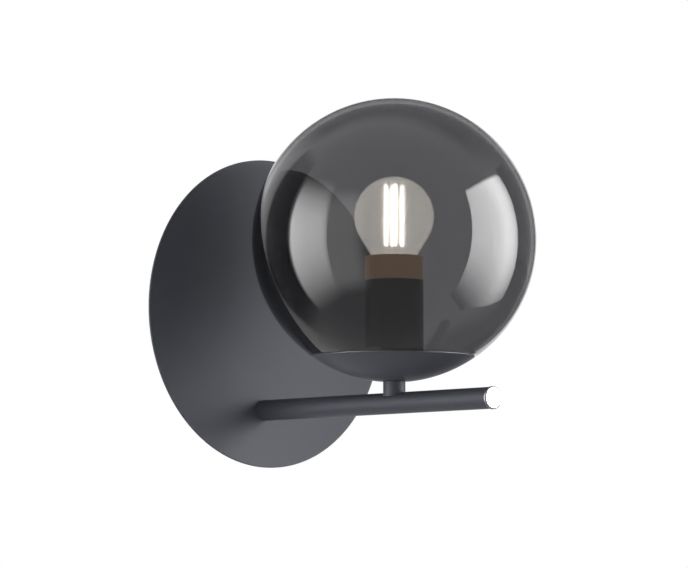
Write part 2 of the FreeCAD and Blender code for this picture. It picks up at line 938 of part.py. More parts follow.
def spider(level):
    """Flat strips that run from the bulb's axis to the four filaments."""
    strips = []
    for k in range(filament_count):
        strip = box_between(
            (0, stem_y - support_width / 2, level),
            (filament_ring, stem_y + support_width / 2, level + support_sheet),
        )
        strip.rotate(Vector(0, stem_y, 0), Vector(0, 0, 1), filament_turn + 360 / filament_count * k)
        strips.append(strip)
    return strips[0].fuse(strips[1:]).removeSplitter()


def bulb_driver():
    """Small circuit board that stands in the cap and feeds the filaments."""
    low = globe_z + bulb_base_rel + bulb_contact_depth + bulb_insulator_depth
    half_width = bulb_cap_radius * driver_share
    high = low + bulb_cap_length * driver_share
    face = stem_y + driver_board / 2
    board = box_between((-half_width, stem_y - driver_board / 2, low), (half_width, face, high))
    store_radius = bulb_cap_radius * driver_store_share
    store = cylinder_z(store_radius, low + driver_store_inset, high - driver_store_inset, 0, face + store_radius)
    return Part.makeCompound([board, store])


# ---- terminals and wiring ----


def pole_places():
    return [-pole_pitch, 0, pole_pitch]


def clamp_levels():
    return [block_rise - block_height / 4, block_rise + block_height / 4]


def terminal_block():
    """Three-pole block: a base slab with one tower a pole, bored for barrels, screws and wires."""
    back = -bracket_sheet
    low = block_rise - block_height / 2
    high = low + block_height
    front = back - block_depth
    slab_front = back - block_base_depth
    body = box_between((-block_width / 2, slab_front, low), (block_width / 2, back, high))
    for x in pole_places():
        tower_low = (x - pole_width / 2, front, low + tower_inset)
        tower_high = (x + pole_width / 2, slab_front, high - tower_inset)
        body = body.fuse(box_between(tower_low, tower_high))
    body = body.removeSplitter()
    for x in pole_places():
        body = body.cut(cylinder_z(barrel_radius, low, high, x, -pole_depth))
        for z in clamp_levels():
            body = body.cut(cylinder_y(barrel_radius * clamp_hole_share, -pole_depth, front, x, z))
    for side in (-1, 1):
        body = body.cut(cylinder_y(screw_radius / 2, back, slab_front, side * pole_pitch / 2, block_rise))
    return body


def terminal_barrels():
    """Brass barrels in the block."""
    low = block_rise - block_height / 2 + barrel_inset
    high = block_rise + block_height / 2 - barrel_inset
    barrels = []
    for x in pole_places():
        barrel = cylinder_z(barrel_radius - thread_play, low, high, x, -pole_depth)
        barrel = barrel.cut(cylinder_z(barrel_bore_radius, low, high, x, -pole_depth))
        for z in clamp_levels():
            barrel = barrel.cut(cylinder_y(clamp_radius + thread_play, -pole_depth, -pole_depth - barrel_radius, x, z))
        barrels.append(barrel)
    return Part.makeCompound(barrels)


def terminal_screws():
    """Six slotted screws that clamp the wires in the barrels."""
    tip = -pole_depth - wire_radius - thread_play
    head = -bracket_sheet - block_depth + clamp_sink
    screws = []
    for x in pole_places():
        for z in clamp_levels():
            slot = box_between(
                (x - clamp_radius, head, z - clamp_slot_width / 2),
                (x + clamp_radius, head + clamp_slot_depth, z + clamp_slot_width / 2),
            )
            screws.append(cylinder_y(clamp_radius, tip, head, x, z).cut(slot))
    return Part.makeCompound(screws)


def block_screws():
    """Two small screws that hold the block to the bracket's lug."""
    seat = -bracket_sheet - block_base_depth
    screws = []
    for side in (-1, 1):
        x = side * pole_pitch / 2
        shank = cylinder_y(screw_radius / 2 - thread_play, -bracket_sheet / 4, seat, x, block_rise)
        screws.append(shank)
    return Part.makeCompound(screws)


def supply_wire(side):
    """Live or neutral wire, from the terminal block through the nipple, arm and stem to the lampholder."""
    level = arm_z - wire_sag
    mouth = seat_y + washer_depth + nut_depth + root_nipple_tail + bushing_flange_depth
    turn_y = mouth + wire_turn_space
    up_y = stem_y - wire_sag
    nipple_top = base_z + base_depth - base_cavity_depth
    points = [
        Vector(side * pole_pitch, -pole_depth, block_rise - block_height / 4),
        Vector(side * pole_pitch, -pole_depth, block_rise - block_height),
        Vector(side * wire_aside, -pole_depth, wire_pass_height),
        Vector(side * wire_aside, turn_y, arm_z / 2),
        Vector(side * wire_spread, turn_y, level),
        Vector(side * wire_spread, up_y, level),
        Vector(side * wire_spread, up_y, nipple_top),
        Vector(side * terminal_offset, stem_y, base_top_z - wire_lead),
        Vector(side * terminal_offset, stem_y, base_top_z + terminal_bore_depth - wire_end_play),
    ]
    return wire_along(points, wire_bend)


def earth_wire():
    """Wire from the block's middle pole to the lug on the earth stud."""
    lug_top = earth_z + lug_length
    block_low = block_rise - block_height / 2
    points = [
        Vector(0, -pole_depth, block_rise - block_height / 4),
        Vector(0, -pole_depth, block_low - wire_lead),
        Vector(earth_wire_side, -earth_wire_depth, -wire_pass_height),
        Vector(earth_x, earth_barrel_y, lug_top + 2 * wire_lead),
        Vector(earth_x, earth_barrel_y, lug_top - lug_barrel_length + wire_end_play),
    ]
    return wire_along(points, wire_bend)


def earth_stud():
    """Threaded stud welded to the dish's back, with a collar that the lug seats on."""
    collar = cylinder_y(earth_collar_radius, earth_seat_y, dish_rim_y, earth_x, earth_z)
    stud = cylinder_y(earth_stud_radius, earth_seat_y + earth_stud_length, dish_rim_y, earth_x, earth_z)
    return collar.fuse(stud).removeSplitter().cut(dish_sphere(dish_sheet))


def earth_lug():
    """Tinned ring lug on the stud, with its barrel crimped on the wire."""
    front = earth_seat_y + lug_sheet
    top = earth_z + lug_length
    low = top - lug_barrel_length
    ring = cylinder_y(2 * earth_stud_radius, front, earth_seat_y, earth_x, earth_z)
    tongue = box_between(
        (earth_x - earth_stud_radius, earth_seat_y, earth_z),
        (earth_x + earth_stud_radius, front, top - lug_sheet),
    )
    barrel = cylinder_z(wire_radius + lug_sheet, low, top, earth_x, earth_barrel_y)
    lug = ring.fuse([tongue, barrel]).removeSplitter()
    lug = lug.cut(cylinder_z(wire_radius, low, top, earth_x, earth_barrel_y))
    return lug.cut(cylinder_y(earth_stud_radius + thread_play, front, earth_seat_y, earth_x, earth_z))


def earth_nut():
    start = earth_seat_y + lug_sheet
    nut = hexagon(earth_nut_across_flats, earth_nut_depth, Vector(earth_x, start, earth_z), Vector(0, 1, 0))
    hole = cylinder_y(earth_stud_radius + thread_play, start + earth_nut_depth, start, earth_x, earth_z)
    return nut.cut(hole)


def all_parts():
    return {
        "wall_bracket": wall_bracket(),
        "cable_bush": cable_bush(),
        "back_box": back_box(),
        "side_screws": side_screws(),
        "front_dish": front_dish(),
        "arm_seat": arm_seat(),
        "arm_tube": arm_tube(),
        "end_cap": end_cap(),
        "root_nipple": root_nipple(),
        "root_washer": root_washer(),
        "root_nut": root_nut(),
        "nipple_bushing": nipple_bushing(),
        "stem": stem(),
        "stem_nipple": stem_nipple(),
        "cup": cup(),
        "cup_gasket": cup_gasket(),
        "globe_spring": globe_spring(),
        "cup_washer": cup_washer(),
        "cup_nut": cup_nut(),
        "globe_glass": globe_glass(),
        "holder_base": holder_base(),
        "holder_body": holder_body(),
        "holder_terminals": holder_terminals(),
        "holder_collar": holder_collar(),
        "holder_sleeve": holder_sleeve(),
        "screw_shell": screw_shell(),
        "centre_contact": centre_contact(),
        "bulb_glass": bulb_glass(),
        "bulb_cap": bulb_cap(),
        "bulb_insulator": bulb_insulator(),
        "bulb_contact": bulb_contact(),
        "bulb_mount": bulb_mount(),
        "bulb_driver": bulb_driver(),
        "filaments": filaments(),
        "filament_frame": filament_frame(),
        "terminal_block": terminal_block(),
        "terminal_barrels": terminal_barrels(),
        "terminal_screws": terminal_screws(),
        "block_screws": block_screws(),
        "live_wire": supply_wire(-1),
        "neutral_wire": supply_wire(1),
        "earth_wire": earth_wire(),
        "earth_stud": earth_stud(),
        "earth_lug": earth_lug(),
        "earth_nut": earth_nut(),
    }


os.makedirs("parts", exist_ok=True)
for name, shape in all_parts().items():
    solids = shape.Solids
    print(f"{name}: {len(solids)} solid(s), {shape.Volume:.1f} mm3, valid {shape.isValid()}")
    shape.exportStep(f"parts/{name}.step")
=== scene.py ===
import math

import bmesh
import bpy
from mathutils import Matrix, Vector


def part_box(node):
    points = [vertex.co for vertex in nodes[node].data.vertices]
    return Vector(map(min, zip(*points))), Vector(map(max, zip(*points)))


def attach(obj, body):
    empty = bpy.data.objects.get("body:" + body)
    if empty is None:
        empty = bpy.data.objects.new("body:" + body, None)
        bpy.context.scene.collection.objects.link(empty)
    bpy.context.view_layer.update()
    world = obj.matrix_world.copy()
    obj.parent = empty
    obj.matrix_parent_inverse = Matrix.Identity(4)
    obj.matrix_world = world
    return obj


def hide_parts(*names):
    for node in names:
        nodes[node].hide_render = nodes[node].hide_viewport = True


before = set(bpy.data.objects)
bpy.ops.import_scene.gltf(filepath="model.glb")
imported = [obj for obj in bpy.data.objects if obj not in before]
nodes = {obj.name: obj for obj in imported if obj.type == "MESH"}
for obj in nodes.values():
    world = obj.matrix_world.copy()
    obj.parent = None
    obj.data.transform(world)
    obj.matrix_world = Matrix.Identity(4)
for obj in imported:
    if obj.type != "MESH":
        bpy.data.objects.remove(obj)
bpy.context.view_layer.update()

mm = 0.001


# ---- Wall bracket, side screws, nipples, nuts and washers ----
# Pressed and turned steel, zinc plated. The bracket is screwed to the wall and everything else hangs from
# it by its two tabs, so all of this sits behind the dish or inside the arm, stem and cup.
zinc = (0.56, 0.57, 0.58, 1)
zinc_dull = (0.42, 0.43, 0.45, 1)
blued_steel = (0.30, 0.31, 0.34, 1)
blued_dark = (0.16, 0.17, 0.21, 1)
black_steel = (0.045, 0.045, 0.05, 1)
black_steel_worn = (0.09, 0.09, 0.095, 1)


def grain_group(name, build):
    """A node group of inputs, outputs and a body that build() fills in."""
    group = bpy.data.node_groups.new(name, "ShaderNodeTree")
    build(group)
    return group


def group_socket(group, name, kind, direction, value=None):
    socket = group.interface.new_socket(name=name, in_out=direction, socket_type="NodeSocket" + kind)
    if value is not None:
        socket.default_value = value


def mixed_colours(tree, mask, first, second):
    """Colour that runs from the first socket to the second as the mask goes from 0 to 1."""
    mix = tree.nodes.new("ShaderNodeMix")
    mix.data_type = "RGBA"
    tree.links.new(mask, mix.inputs["Factor"])
    tree.links.new(first, mix.inputs["A"])
    tree.links.new(second, mix.inputs["B"])
    return mix.outputs["Result"]


def mapped(tree, value, low, high):
    """The value, from 0 to 1, mapped between two sockets."""
    spread = tree.nodes.new("ShaderNodeMapRange")
    tree.links.new(value, spread.inputs["Value"])
    tree.links.new(low, spread.inputs["To Min"])
    tree.links.new(high, spread.inputs["To Max"])
    return spread.outputs["Result"]


def build_metal_grain(group):
    group_socket(group, "Colour", "Color", "INPUT", zinc)
    group_socket(group, "Dull Colour", "Color", "INPUT", zinc_dull)
    group_socket(group, "Grain Scale", "Float", "INPUT", 900.0)
    group_socket(group, "Smooth Roughness", "Float", "INPUT", 0.25)
    group_socket(group, "Rough Roughness", "Float", "INPUT", 0.5)
    group_socket(group, "Colour", "Color", "OUTPUT")
    group_socket(group, "Roughness", "Float", "OUTPUT")
    group_socket(group, "Height", "Float", "OUTPUT")
    given = group.nodes.new("NodeGroupInput")
    result = group.nodes.new("NodeGroupOutput")
    place = group.nodes.new("ShaderNodeTexCoord")
    stretch = group.nodes.new("ShaderNodeMapping")
    stretch.inputs["Scale"].default_value = (1.0, 1.0, 0.12)
    streaks = group.nodes.new("ShaderNodeTexNoise")
    streaks.inputs["Detail"].default_value = 6.0
    cloud = group.nodes.new("ShaderNodeTexNoise")
    cloud.inputs["Scale"].default_value = 160.0
    group.links.new(place.outputs["Object"], stretch.inputs["Vector"])
    group.links.new(stretch.outputs["Vector"], streaks.inputs["Vector"])
    group.links.new(given.outputs["Grain Scale"], streaks.inputs["Scale"])
    group.links.new(place.outputs["Object"], cloud.inputs["Vector"])
    colour = mixed_colours(group, cloud.outputs["Fac"], given.outputs["Colour"], given.outputs["Dull Colour"])
    low, high = given.outputs["Smooth Roughness"], given.outputs["Rough Roughness"]
    group.links.new(colour, result.inputs["Colour"])
    group.links.new(mapped(group, streaks.outputs["Fac"], low, high), result.inputs["Roughness"])
    group.links.new(streaks.outputs["Fac"], result.inputs["Height"])


metal_grain = grain_group("metal_grain", build_metal_grain)


def finish(name, group, values, bump, metallic=0.0, **constants):
    """A Principled material whose colour, roughness and relief come from a group with the given values."""
    material = bpy.data.materials.new(name)
    material.use_nodes = True
    tree = material.node_tree
    shader = tree.nodes["Principled BSDF"]
    shader.inputs["Metallic"].default_value = metallic
    for socket, value in constants.items():
        shader.inputs[socket.replace("_", " ")].default_value = value
    grain = tree.nodes.new("ShaderNodeGroup")
    grain.node_tree = group
    for socket, value in values.items():
        grain.inputs[socket].default_value = value
    tree.links.new(grain.outputs["Colour"], shader.inputs["Base Color"])
    tree.links.new(grain.outputs["Roughness"], shader.inputs["Roughness"])
    relief = tree.nodes.new("ShaderNodeBump")
    relief.inputs["Strength"].default_value = bump
    relief.inputs["Distance"].default_value = 0.1 * mm
    tree.links.new(grain.outputs["Height"], relief.inputs["Height"])
    tree.links.new(relief.outputs["Normal"], shader.inputs["Normal"])
    return material


def dress(piece, material):
    """Gives a piece its material in each of its slots."""
    if not piece.material_slots:
        piece.data.materials.append(material)
    for held in piece.material_slots:
        held.material = material


zinc_look = {"Colour": zinc, "Dull Colour": zinc_dull}
spring_look = {"Colour": blued_steel, "Dull Colour": blued_dark}
zinc_finish = finish("zinc_plate", metal_grain, zinc_look, 0.15, 1.0)
spring_finish = finish("blued_spring", metal_grain, spring_look, 0.1, 1.0)
black_finish = finish(
    "black_steel",
    metal_grain,
    {"Colour": black_steel, "Dull Colour": black_steel_worn, "Smooth Roughness": 0.35},
    0.15,
)
zinc_nodes = ["wall_bracket", "arm_seat", "root_nipple", "root_washer", "root_nut", "stem_nipple", "cup_washer"]
zinc_nodes += ["cup_nut", "terminal_screws", "block_screws", "earth_stud", "earth_nut"]
for node in zinc_nodes:
    dress(nodes[node], zinc_finish)
dress(nodes["side_screws"], black_finish)


# ---- Cable bush ----
# Black rubber ring pressed into the bracket's middle hole, where the house cable comes through the wall. It
# keeps the pressed steel edge off the cable.
rubber_black = (0.022, 0.022, 0.023, 1)
rubber_dusty = (0.05, 0.05, 0.05, 1)


def build_soft_grain(group):
    group_socket(group, "Colour", "Color", "INPUT", rubber_black)
    group_socket(group, "Second Colour", "Color", "INPUT", rubber_dusty)
    group_socket(group, "Grain Scale", "Float", "INPUT", 2500.0)
    group_socket(group, "Smooth Roughness", "Float", "INPUT", 0.4)
    group_socket(group, "Rough Roughness", "Float", "INPUT", 0.6)
    group_socket(group, "Colour", "Color", "OUTPUT")
    group_socket(group, "Roughness", "Float", "OUTPUT")
    group_socket(group, "Height", "Float", "OUTPUT")
    given = group.nodes.new("NodeGroupInput")
    result = group.nodes.new("NodeGroupOutput")
    place = group.nodes.new("ShaderNodeTexCoord")
    fine = group.nodes.new("ShaderNodeTexNoise")
    fine.inputs["Detail"].default_value = 3.0
    broad = group.nodes.new("ShaderNodeTexNoise")
    broad.inputs["Scale"].default_value = 60.0
    broad.inputs["Detail"].default_value = 4.0
    for texture in (fine, broad):
        group.links.new(place.outputs["Object"], texture.inputs["Vector"])
    group.links.new(given.outputs["Grain Scale"], fine.inputs["Scale"])
    colour = mixed_colours(group, broad.outputs["Fac"], given.outputs["Colour"], given.outputs["Second Colour"])
    low, high = given.outputs["Smooth Roughness"], given.outputs["Rough Roughness"]
    group.links.new(colour, result.inputs["Colour"])
    group.links.new(mapped(group, broad.outputs["Fac"], low, high), result.inputs["Roughness"])
    group.links.new(fine.outputs["Fac"], result.inputs["Height"])


soft_grain = grain_group("soft_grain", build_soft_grain)
rubber_finish = finish("black_rubber", soft_grain, {}, 0.2)
dress(nodes["cable_bush"], rubber_finish)


# ---- Back box and front dish ----
# Spun and rolled steel in anthracite powder coat. The ring is welded behind the dish, which is hollow towards
# the room and has a thin rolled-over edge. The coat is satin, with a fine orange-peel skin.
anthracite = (0.042, 0.044, 0.053, 1)
anthracite_pale = (0.053, 0.056, 0.067, 1)
dish_radius = 90 * mm
dish_hollow = 8 * mm
dish_sheet = 1.5 * mm
dish_rim_y = -25 * mm
dish_hole_radius = 5 * mm
dish_segments = 256
dish_rings = 28
dish_roll = 0.55 * mm
dish_curve = (dish_radius**2 + dish_hollow**2) / (2 * dish_hollow)
dish_curve_y = dish_rim_y + dish_hollow - dish_curve


def build_powder_coat(group):
    group_socket(group, "Colour", "Color", "INPUT", anthracite)
    group_socket(group, "Pale Colour", "Color", "INPUT", anthracite_pale)
    group_socket(group, "Peel Scale", "Float", "INPUT", 1400.0)
    group_socket(group, "Smooth Roughness", "Float", "INPUT", 0.38)
    group_socket(group, "Rough Roughness", "Float", "INPUT", 0.48)
    group_socket(group, "Colour", "Color", "OUTPUT")
    group_socket(group, "Roughness", "Float", "OUTPUT")
    group_socket(group, "Height", "Float", "OUTPUT")
    given = group.nodes.new("NodeGroupInput")
    result = group.nodes.new("NodeGroupOutput")
    place = group.nodes.new("ShaderNodeTexCoord")
    peel = group.nodes.new("ShaderNodeTexNoise")
    peel.inputs["Detail"].default_value = 2.0
    peel.inputs["Roughness"].default_value = 0.6
    speck = group.nodes.new("ShaderNodeTexVoronoi")
    speck.inputs["Scale"].default_value = 2600.0
    cloud = group.nodes.new("ShaderNodeTexNoise")
    cloud.inputs["Scale"].default_value = 22.0
    cloud.inputs["Detail"].default_value = 3.0
    for texture in (peel, speck, cloud):
        group.links.new(place.outputs["Object"], texture.inputs["Vector"])
    group.links.new(given.outputs["Peel Scale"], peel.inputs["Scale"])
    grain = group.nodes.new("ShaderNodeMath")
    grain.operation = "MULTIPLY_ADD"
    grain.inputs[1].default_value = 0.35
    group.links.new(speck.outputs["Distance"], grain.inputs[0])
    group.links.new(cloud.outputs["Fac"], grain.inputs[2])
    grain.use_clamp = True
    colour = mixed_colours(group, grain.outputs["Value"], given.outputs["Colour"], given.outputs["Pale Colour"])
    low, high = given.outputs["Smooth Roughness"], given.outputs["Rough Roughness"]
    group.links.new(colour, result.inputs["Colour"])
    group.links.new(mapped(group, peel.outputs["Fac"], low, high), result.inputs["Roughness"])
    group.links.new(peel.outputs["Fac"], result.inputs["Height"])


powder_coat = grain_group("powder_coat", build_powder_coat)
coat_finish = finish("anthracite_coat", powder_coat, {}, 0.12, Specular_IOR_Level=0.06)
dress(nodes["back_box"], coat_finish)


def softened(outline, radius, steps=4):
    """The closed outline with each real corner rounded to about the radius."""
    rounded = []
    for k, corner in enumerate(outline):
        corner = Vector(corner)
        before = Vector(outline[k - 1]) - corner
        after = Vector(outline[(k + 1) % len(outline)]) - corner
        if corner.x < 1e-7 or before.angle(after, math.pi) > math.radians(165):
            rounded.append(corner)
            continue
        reach = min(radius, 0.45 * before.length, 0.45 * after.length)
        start = corner + before.normalized() * reach
        end = corner + after.normalized() * reach
        for n in range(steps + 1):
            t = n / steps
            rounded.append(start * (1 - t) ** 2 + corner * 2 * t * (1 - t) + end * t**2)
    return [tuple(point) for point in rounded]


def arc_points(centre, radius, first, last, steps):
    """(radius, height) points on a circle round the axis, between two angles above the horizontal."""
    angles = [first + (last - first) * n / steps for n in range(steps + 1)]
    return [(max(radius * math.cos(a), 0), centre + radius * math.sin(a)) for a in angles]


def turned(name, outline, place, axis="Z", segments=160, sharp=50):
    """A body turned about an axis through place. A height may be a function of where its point stands."""
    mesh = bmesh.new()
    rings = []
    for radius, height in outline:
        count = 1 if radius < 1e-6 else segments
        ring = []
        for n in range(count):
            angle = 2 * math.pi * n / segments
            side, other = radius * math.cos(angle), radius * math.sin(angle)
            rise = height(side, other) if callable(height) else height
            offset = (side, other, rise) if axis == "Z" else (side, rise, other)
            ring.append(mesh.verts.new(Vector(place) + Vector(offset)))
        rings.append(ring)
    for k, ring in enumerate(rings):
        join_rings(mesh, rings[k - 1], ring, segments)
    bmesh.ops.recalc_face_normals(mesh, faces=mesh.faces)
    data = bpy.data.meshes.new(name)
    mesh.to_mesh(data)
    mesh.free()
    data.shade_smooth()
    data.set_sharp_from_angle(angle=math.radians(sharp))
    piece = bpy.data.objects.new(name, data)
    bpy.context.scene.collection.objects.link(piece)
    return piece


def join_rings(mesh, first, second, segments):
    for n in range(segments):
        corners = [first[n % len(first)], first[(n + 1) % len(first)]]
        corners += [second[(n + 1) % len(second)], second[n % len(second)]]
        corners = list(dict.fromkeys(corners))
        if len(corners) > 2:
            mesh.faces.new(corners)


def place_piece(piece, material, body, slot, *replaced):
    """Dresses a new piece, hangs it on its body and hides the nodes it stands in for."""
    dress(piece, material)
    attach(piece, body)
    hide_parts(*replaced)


def dish_y(offset):
    """Where the dish's face, moved back by offset, lies at a point beside and above the middle."""
    return lambda side, up: dish_curve_y + math.sqrt((dish_curve + offset) ** 2 - side**2 - up**2)


def drilled_disc(name, hole_z):
    """The dish as a fine grid in rings that flow round the arm's hole, front and back, with a rolled edge."""
    mesh = bmesh.new()
    rings = []
    shares = [n / dish_rings for n in range(dish_rings + 1)]
    front = [(share, 0.0) for share in shares]
    back = [(share, dish_sheet) for share in reversed(shares)]
    for share, offset in front + back:
        ring = []
        for n in range(dish_segments):
            angle = 2 * math.pi * n / dish_segments
            near = Vector((dish_hole_radius * math.cos(angle), hole_z + dish_hole_radius * math.sin(angle)))
            far = Vector((dish_radius * math.cos(angle), dish_radius * math.sin(angle)))
            spot = near.lerp(far, share)
            ring.append(mesh.verts.new((spot.x, dish_y(offset)(spot.x, spot.y), spot.y)))
        rings.append(ring)
    for k, ring in enumerate(rings):
        join_rings(mesh, rings[k - 1], ring, dish_segments)
    bmesh.ops.recalc_face_normals(mesh, faces=mesh.faces)
    data = bpy.data.meshes.new(name)
    mesh.to_mesh(data)
    mesh.free()
    piece = bpy.data.objects.new(name, data)
    bpy.context.scene.collection.objects.link(piece)
    roll = piece.modifiers.new("rolled_edge", "BEVEL")
    roll.width = dish_roll
    roll.segments = 4
    roll.angle_limit = math.radians(60)
    data.shade_smooth()
    return piece


arm_low, arm_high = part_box("arm_tube")
arm_z = (arm_low.z + arm_high.z) / 2
dish = drilled_disc("dish", arm_z)
place_piece(dish, coat_finish, "fixture", "anthracite_paint", "front_dish")


# ---- Arm tube and its end cap ----
# Drawn steel tube, 12 mm across. Its root is cut to the dish's curve and drawn tight by the nipple inside, so
# only a fine dark joint shows. The far end holds a turned plug with a polished, flat face.
arm_radius = 6 * mm
arm_wall = 1 * mm
arm_bore = arm_radius - arm_wall
root_gap = 0.05 * mm
arm_end_y = arm_low.y
stem_low, stem_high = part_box("stem")
stem_y = (stem_low.y + stem_high.y) / 2


def on_dish(side, up):
    """The arm's root follows the dish, seen from the arm's own axis."""
    return dish_y(-root_gap)(side, arm_z + up)


arm_outline = [
    (arm_radius, on_dish),
    (arm_radius, arm_end_y),
    (arm_bore, arm_end_y),
    (arm_bore, on_dish),
]
arm = turned("arm", arm_outline, (0, 0, arm_z), "Y", 96, 40)
place_piece(arm, coat_finish, "fixture", "anthracite_paint", "arm_tube")

cap_low, cap_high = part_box("end_cap")
cap_face_y = cap_low.y
cap_tail_y = cap_high.y
cap_flange = 6.3 * mm
cap_face = 5.4 * mm
cap_rim_depth = 0.5 * mm
cap_sink = 0.02 * mm
cap_sink_edge = 0.15 * mm
cap_play = 0.05 * mm
cap_softening = 0.12 * mm
cap_outline = [
    (0, cap_face_y + cap_sink),
    (cap_face - cap_sink_edge, cap_face_y + cap_sink),
    (cap_face, cap_face_y),
    (cap_flange, cap_face_y + cap_rim_depth),
    (cap_flange, arm_end_y - cap_sink),
    (arm_bore - cap_play, arm_end_y - cap_sink),
    (arm_bore - cap_play, cap_tail_y),
    (0, cap_tail_y),
]
chrome = (0.80, 0.80, 0.82, 1)
satin_chrome = (0.11, 0.11, 0.115, 1)
polish_run_in = 0.15 * mm
polish_run_out = 0.05 * mm


def build_turned_polish(group):
    """Polished inside the face's edge and satin outside it, by the distance from the arm's axis."""
    group_socket(group, "Colour", "Color", "INPUT", chrome)
    group_socket(group, "Rim Colour", "Color", "INPUT", satin_chrome)
    group_socket(group, "Face Roughness", "Float", "INPUT", 0.06)
    group_socket(group, "Rim Roughness", "Float", "INPUT", 0.35)
    group_socket(group, "Colour", "Color", "OUTPUT")
    group_socket(group, "Roughness", "Float", "OUTPUT")
    group_socket(group, "Height", "Float", "OUTPUT")
    given = group.nodes.new("NodeGroupInput")
    result = group.nodes.new("NodeGroupOutput")
    place = group.nodes.new("ShaderNodeTexCoord")
    from_axis = group.nodes.new("ShaderNodeVectorMath")
    from_axis.operation = "MULTIPLY_ADD"
    from_axis.inputs[1].default_value = (1, 0, 1)
    from_axis.inputs[2].default_value = (0, 0, -arm_z)
    distance = group.nodes.new("ShaderNodeVectorMath")
    distance.operation = "LENGTH"
    rim = group.nodes.new("ShaderNodeMapRange")
    rim.inputs["From Min"].default_value = cap_face - polish_run_in
    rim.inputs["From Max"].default_value = cap_face + polish_run_out
    turning = group.nodes.new("ShaderNodeTexNoise")
    turning.inputs["Scale"].default_value = 1800.0
    group.links.new(place.outputs["Object"], from_axis.inputs[0])
    group.links.new(from_axis.outputs["Vector"], distance.inputs[0])
    group.links.new(distance.outputs["Value"], rim.inputs["Value"])
    group.links.new(from_axis.outputs["Vector"], turning.inputs["Vector"])
    mask = rim.outputs["Result"]
    colour = mixed_colours(group, mask, given.outputs["Colour"], given.outputs["Rim Colour"])
    roughness = mapped(group, mask, given.outputs["Face Roughness"], given.outputs["Rim Roughness"])
    group.links.new(colour, result.inputs["Colour"])
    group.links.new(roughness, result.inputs["Roughness"])
    group.links.new(turning.outputs["Fac"], result.inputs["Height"])


turned_polish = grain_group("turned_polish", build_turned_polish)
chrome_finish = finish("polished_chrome", turned_polish, {}, 0.01, 1.0)
cap = turned("arm_cap", softened(cap_outline, cap_softening), (0, 0, arm_z), "Y", 96, 40)
place_piece(cap, chrome_finish, "fixture", "polished_chrome", "end_cap")


# ---- Stem ----
# Short turned steel post in the same coat. Its foot is hollowed to sit astride the arm, and the threaded
# nipple inside draws it between arm and cup.
stem_radius = 6.25 * mm
stem_bore = 5 * mm
stem_edge = 0.3 * mm
stem_foot_z = stem_low.z
stem_top_z = stem_high.z


def astride_arm(side, along):
    """The saddle: the arm's top surface, down to the post's lower end beside it."""
    if abs(side) >= arm_radius:
        return stem_foot_z
    return max(stem_foot_z, arm_z + math.sqrt(arm_radius**2 - side**2))


stem_outline = [
    (stem_radius, astride_arm),
    (stem_radius, stem_top_z - stem_edge),
    (stem_radius - stem_edge, stem_top_z),
    (stem_bore, stem_top_z),
    (stem_bore, astride_arm),
]
post = turned("post", stem_outline, (0, stem_y, 0), "Z", 96, 40)
place_piece(post, coat_finish, "fixture", "anthracite_paint", "stem")


# ---- Cup ----
# Spun steel cup that carries on the globe's curve, in the same coat. It is clamped on the stem by the nut
# inside, and its softened rim holds a black silicone gasket.
globe_low, globe_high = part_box("globe_glass")
globe_radius = (globe_high.x - globe_low.x) / 2
globe_z = globe_high.z - globe_radius
cup_low, cup_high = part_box("cup")
cup_step = 0.2 * mm
cup_sheet = 1.2 * mm
cup_steps = 40
cup_softening = 0.4 * mm
cup_radius = globe_radius - cup_step
cup_inside = cup_radius - cup_sheet
cup_rim = cup_high.z - globe_z
cup_pad = cup_low.z - globe_z
cup_hole = 5 * mm


def cup_angle(radius, height):
    return math.asin(height / radius)


cup_outline = [(cup_hole, cup_pad)]
outer_foot, outer_rim = cup_angle(cup_radius, cup_pad), cup_angle(cup_radius, cup_rim)
inner_rim, inner_foot = cup_angle(cup_inside, cup_rim), cup_angle(cup_inside, cup_pad + cup_sheet)
cup_outline += arc_points(0, cup_radius, outer_foot, outer_rim, cup_steps)
cup_outline += arc_points(0, cup_inside, inner_rim, inner_foot, cup_steps)
cup_outline += [(cup_hole, cup_pad + cup_sheet)]
cup = turned("globe_cup", softened(cup_outline, cup_softening), (0, stem_y, globe_z), "Z", 192, 40)
place_piece(cup, coat_finish, "fixture", "anthracite_paint", "cup")


# ---- Gasket and globe spring ----
# The silicone ring keeps glass off metal. The blued steel spider under the nut has three leaves that spring
# out under the glass edge and hold the globe down.
dress(nodes["globe_spring"], spring_finish)
gasket_low, gasket_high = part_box("cup_gasket")
gasket_top = gasket_high.z - globe_z
gasket_outer = (gasket_high.x - gasket_low.x) / 2
gasket_inner = 41.9 * mm
gasket_lip = 1.7 * mm
gasket_toe = 2.6 * mm
gasket_softening = 0.25 * mm
gasket_outline = [
    (gasket_inner, gasket_top),
    (gasket_outer, gasket_top),
    (gasket_outer, cup_rim),
    (gasket_outer - gasket_lip, cup_rim),
    (gasket_outer - gasket_toe, gasket_low.z - globe_z),
    (gasket_inner, gasket_low.z - globe_z),
]
gasket = turned("rim_gasket", softened(gasket_outline, gasket_softening), (0, stem_y, globe_z), "Z", 192, 40)
place_piece(gasket, rubber_finish, "fixture", "black_rubber", "cup_gasket")
